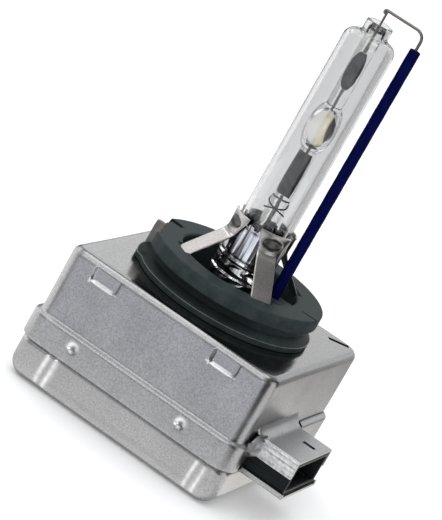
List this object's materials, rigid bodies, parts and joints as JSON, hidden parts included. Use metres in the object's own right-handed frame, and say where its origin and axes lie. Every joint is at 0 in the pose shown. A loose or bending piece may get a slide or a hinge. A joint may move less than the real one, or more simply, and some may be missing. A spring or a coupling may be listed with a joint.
{
  "type": "headlight bulb",
  "caption": "Xenon discharge headlight bulb: a glass burner on a keyed plastic base ring, over a square shielded metal can that holds its ignitor and side connector.",
  "frame": {"origin": "the can's flat underside, on the burner's axis", "axes": "+Z along the burner, from the can to the tip; +X to the connector side"},
  "size_m": [0.0496, 0.0428, 0.0791],
  "materials": {
    "can_metal": "satin tin-plated steel sheet with a fine grain",
    "connector_plastic": "moulded black plastic, lightly textured",
    "contact_pin": "tinned brass pins",
    "base_plastic": "glass-filled charcoal plastic, fine moulded grain",
    "strap_steel": "satin stainless strip",
    "sleeve_steel": "bright drawn stainless",
    "outer_glass": "clear quartz-type glass tube",
    "arc_glass": "clear quartz with a pale deposit in the discharge bulb",
    "electrode_metal": "dull tungsten",
    "foil_metal": "dark molybdenum foil",
    "wire_metal": "drawn nickel-coloured wire, slightly tarnished",
    "navy_tube": "matt navy insulating tube",
    "housing_plastic": "moulded black plastic",
    "ferrite": "sintered ferrite",
    "bobbin_plastic": "natural moulded plastic",
    "winding_copper": "enamelled copper wire",
    "gap_ceramic": "plain white ceramic",
    "terminal_metal": "stamped and tinned brass",
    "capacitor_case": "dipped film capacitor case",
    "resistor_body": "lacquered resistor body"
  },
  "bodies": {
    "root": {"top_shield": "can_metal", "bottom_shield": "can_metal", "connector_body": "connector_plastic", "connector_pin_1": "contact_pin", "connector_pin_2": "contact_pin", "connector_pin_3": "contact_pin", "base_ring": "base_plastic", "holder_strap_1": "strap_steel", "holder_strap_2": "strap_steel", "holder_strap_3": "strap_steel", "holder_strap_4": "strap_steel", "clamp_sleeve": "sleeve_steel", "outer_bulb": "outer_glass", "arc_tube": "arc_glass", "electrode_lower": "electrode_metal", "electrode_upper": "electrode_metal", "foil_lower": "foil_metal", "foil_upper": "foil_metal", "lead_wire_lower": "wire_metal", "lead_wire_upper": "wire_metal", "return_wire": "wire_metal", "insulator_tube": "navy_tube", "ignitor_housing": "housing_plastic", "transformer_core": "ferrite", "choke_core": "ferrite", "transformer_bobbin": "bobbin_plastic", "secondary_winding": "winding_copper", "primary_winding": "winding_copper", "choke_winding": "winding_copper", "spark_gap_body": "gap_ceramic", "spark_gap_cap_left": "terminal_metal", "spark_gap_cap_right": "terminal_metal", "supply_rail_1": "terminal_metal", "supply_rail_2": "terminal_metal", "supply_rail_3": "terminal_metal", "burner_contact": "terminal_metal", "return_terminal": "terminal_metal", "capacitor": "capacitor_case", "resistor": "resistor_body"}
  },
  "joints": []
}
